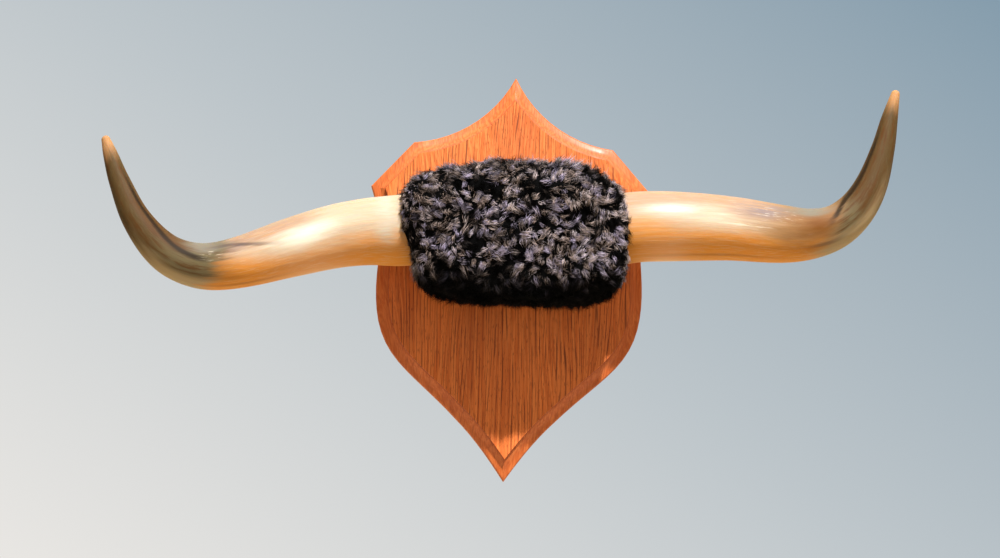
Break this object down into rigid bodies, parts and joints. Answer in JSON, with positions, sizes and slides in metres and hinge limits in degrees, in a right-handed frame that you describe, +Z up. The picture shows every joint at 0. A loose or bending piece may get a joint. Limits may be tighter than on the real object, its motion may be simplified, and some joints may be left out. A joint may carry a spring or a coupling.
{
  "type": "mounted steer horns",
  "caption": "Steer horns on a moulded oak shield plaque, joined under a black curly fur wrap, hung from a keyhole slot.",
  "frame": {"origin": "centre of the round upper end of the keyhole slot, on the plaque's back face, where the wall screw's shank sits", "axes": "+Z up the plaque, +Y into the wall, +X towards the right horn as seen from the front; the object faces -Y"},
  "size_m": [0.9211, 0.1544, 0.482],
  "materials": {
    "stained_oak": "satin varnish over red-orange stain, vertical open grain",
    "polished_horn": "polished horn, cream and amber to olive brown at the tips",
    "black_fur": "curly black fur with grey and brown lock tips",
    "bare_pine": "unfinished",
    "zinc_steel": "zinc plated"
  },
  "bodies": {
    "root": {"shield_plaque": "stained_oak", "horn_left": "polished_horn", "horn_right": "polished_horn", "fur_wrap": "black_fur", "mount_block": "bare_pine", "block_screw_left": "zinc_steel", "block_screw_right": "zinc_steel"}
  },
  "joints": []
}
